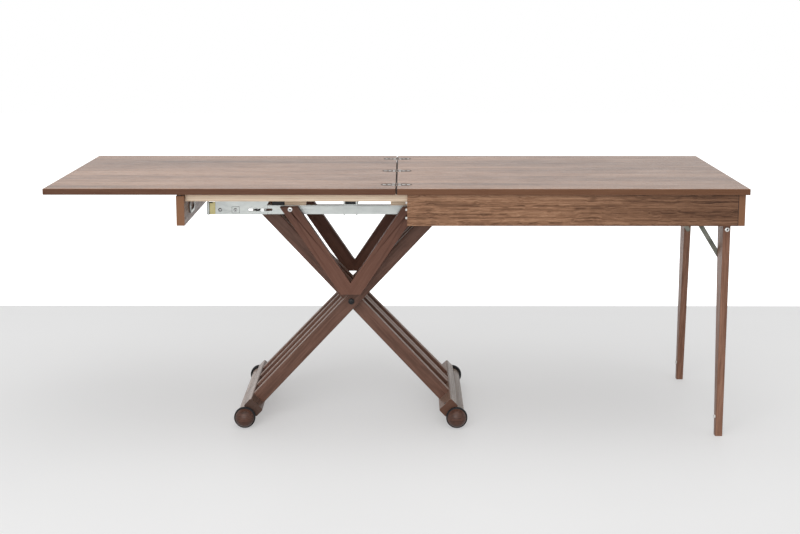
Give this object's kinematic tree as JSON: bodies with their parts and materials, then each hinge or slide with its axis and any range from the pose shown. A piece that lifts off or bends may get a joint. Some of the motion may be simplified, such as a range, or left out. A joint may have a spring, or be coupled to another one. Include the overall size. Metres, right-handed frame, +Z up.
{
  "type": "convertible coffee dining table",
  "caption": "Extending table on a wheeled scissor base: a sliding box with fold-out end legs, a leaf that folds over on flush hinges, and adjustable height.",
  "frame": {"origin": "on the floor under the seam between the two leaves, at the middle of the table", "axes": "+X along the table towards the fold-out legs, +Y towards the rear, +Z up"},
  "size_m": [2, 0.7, 0.7527],
  "materials": {
    "top_veneer": "satin oiled walnut-tone veneer",
    "apron_veneer": "satin walnut-tone veneer with horizontal grain",
    "leg_wood": "satin walnut-stained solid wood",
    "end_leg_wood": "satin walnut-stained solid wood",
    "raw_wood": "bare pale plywood",
    "zinc_steel": "bright zinc plate",
    "yellow_zinc": "yellow zinc plate",
    "bolt_steel": "turned steel",
    "brace_steel": "satin zinc",
    "black_rubber": "matte rubber",
    "black_plastic": "matte",
    "white_nylon": "matte"
  },
  "bodies": {
    "left_axle": {"left_axle_rod": "bolt_steel"},
    "leg_a": {"leg_a_front_outer_slat": "leg_wood", "leg_a_front_inner_slat": "leg_wood", "leg_a_rear_outer_slat": "leg_wood", "leg_a_rear_inner_slat": "leg_wood", "leg_a_foot_beam": "leg_wood", "leg_a_foot_roller": "leg_wood", "pivot_shaft": "bolt_steel", "pivot_caps": "black_plastic", "pivot_washers": "bolt_steel"},
    "leg_b": {"leg_b_front_outer_slat": "leg_wood", "leg_b_front_inner_slat": "leg_wood", "leg_b_rear_outer_slat": "leg_wood", "leg_b_rear_inner_slat": "leg_wood", "leg_b_foot_beam": "leg_wood", "leg_b_foot_roller": "leg_wood", "right_axle_rod": "bolt_steel"},
    "glide_a": {"leg_a_glide_shaft": "bolt_steel", "leg_a_glide_blocks": "white_nylon"},
    "glide_b": {"leg_b_glide_shaft": "bolt_steel", "leg_b_glide_blocks": "white_nylon"},
    "carriage": {"left_end_board": "apron_veneer", "runners": "raw_wood", "cross_boards": "raw_wood", "rail_blocks": "raw_wood", "front_rail": "zinc_steel", "rear_rail": "zinc_steel", "front_truss": "leg_wood", "rear_truss": "leg_wood", "carriage_bolts": "bolt_steel", "rail_end_caps": "yellow_zinc", "height_latch_plates": "zinc_steel", "end_board_brackets": "zinc_steel", "rail_spreader": "zinc_steel"},
    "table_box": {"front_apron": "apron_veneer", "rear_apron": "apron_veneer", "right_end_board": "apron_veneer", "right_leaf": "top_veneer", "guide_cleats": "raw_wood", "docking_pins": "white_nylon", "leg_plates": "zinc_steel", "leg_pivot_bolts": "bolt_steel", "right_hinge_plates": "bolt_steel", "hinge_pins": "bolt_steel"},
    "left_leaf": {"left_leaf": "top_veneer", "left_hinge_plates": "bolt_steel"},
    "end_leg_front": {"front_end_leg": "end_leg_wood", "front_leg_bumper": "white_nylon"},
    "brace_front": {"front_brace": "brace_steel"},
    "wheel_front_left": {"front_left_tyre": "black_rubber", "front_left_wheel_cap": "leg_wood"},
    "wheel_front_right": {"front_right_tyre": "black_rubber", "front_right_wheel_cap": "leg_wood"},
    "end_leg_rear": {"rear_end_leg": "end_leg_wood", "rear_leg_bumper": "white_nylon"},
    "brace_rear": {"rear_brace": "brace_steel"},
    "wheel_rear_left": {"rear_left_tyre": "black_rubber", "rear_left_wheel_cap": "leg_wood"},
    "wheel_rear_right": {"rear_right_tyre": "black_rubber", "rear_right_wheel_cap": "leg_wood"}
  },
  "joints": [
    {"name": "height_fold", "type": "hinge", "parent": "left_axle", "child": "leg_a", "pos_m": [-0.457, 0, 0.032], "axis": [0, 1, 0], "range_deg": [0, 24]},
    {"name": "leg_b_pivot", "type": "hinge", "parent": "leg_a", "child": "leg_b", "pos_m": [-0.138, 0, 0.36802], "axis": [0, -1, 0], "range_deg": [0, 48]},
    {"name": "glide_a_pivot", "type": "hinge", "parent": "leg_a", "child": "glide_a", "pos_m": [0.13396, 0, 0.6545], "axis": [0, -1, 0], "range_deg": [0, 24]},
    {"name": "glide_b_pivot", "type": "hinge", "parent": "leg_b", "child": "glide_b", "pos_m": [-0.40996, 0, 0.6545], "axis": [0, 1, 0], "range_deg": [0, 24]},
    {"name": "carriage_slide", "type": "slide", "parent": "glide_a", "child": "carriage", "axis": [-1, 0, 0], "range_m": [0, 0.0931]},
    {"name": "top_slide", "type": "slide", "parent": "carriage", "child": "table_box", "axis": [-1, 0, 0], "range_m": [0, 0.6325]},
    {"name": "leaf_flip", "type": "hinge", "parent": "table_box", "child": "left_leaf", "pos_m": [0, 0, 0.7505], "axis": [0, 1, 0], "range_deg": [0, 180]},
    {"name": "end_leg_front_fold", "type": "hinge", "parent": "table_box", "child": "end_leg_front", "pos_m": [0.953, -0.26, 0.622], "axis": [0, 1, 0], "range_deg": [0, 90]},
    {"name": "brace_front_pivot", "type": "hinge", "parent": "end_leg_front", "child": "brace_front", "pos_m": [0.953, -0.236, 0.524], "axis": [0, -1, 0], "range_deg": [0, 133.1]},
    {"name": "wheel_front_left_spin", "type": "hinge", "parent": "left_axle", "child": "wheel_front_left", "pos_m": [-0.457, -0.22, 0.032], "axis": [0, 1, 0], "continuous": true},
    {"name": "wheel_front_right_spin", "type": "hinge", "parent": "leg_b", "child": "wheel_front_right", "pos_m": [0.181, -0.22, 0.032], "axis": [0, 1, 0], "continuous": true},
    {"name": "end_leg_rear_fold", "type": "hinge", "parent": "table_box", "child": "end_leg_rear", "pos_m": [0.953, 0.26, 0.622], "axis": [0, 1, 0], "range_deg": [0, 90]},
    {"name": "brace_rear_pivot", "type": "hinge", "parent": "end_leg_rear", "child": "brace_rear", "pos_m": [0.953, 0.236, 0.524], "axis": [0, -1, 0], "range_deg": [0, 133.1]},
    {"name": "wheel_rear_left_spin", "type": "hinge", "parent": "left_axle", "child": "wheel_rear_left", "pos_m": [-0.457, 0.22, 0.032], "axis": [0, 1, 0], "continuous": true},
    {"name": "wheel_rear_right_spin", "type": "hinge", "parent": "leg_b", "child": "wheel_rear_right", "pos_m": [0.181, 0.22, 0.032], "axis": [0, 1, 0], "continuous": true}
  ],
  "couplings": [
    {"joint": "leg_b_pivot", "follows": "height_fold", "ratio": 2},
    {"joint": "glide_a_pivot", "follows": "height_fold", "ratio": 1},
    {"joint": "glide_b_pivot", "follows": "height_fold", "ratio": 1},
    {"joint": "carriage_slide", "follows": "height_fold", "m_per_rad": 0.22204},
    {"joint": "brace_front_pivot", "follows": "end_leg_front_fold", "ratio": 1.4779},
    {"joint": "brace_rear_pivot", "follows": "end_leg_rear_fold", "ratio": 1.4779}
  ]
}
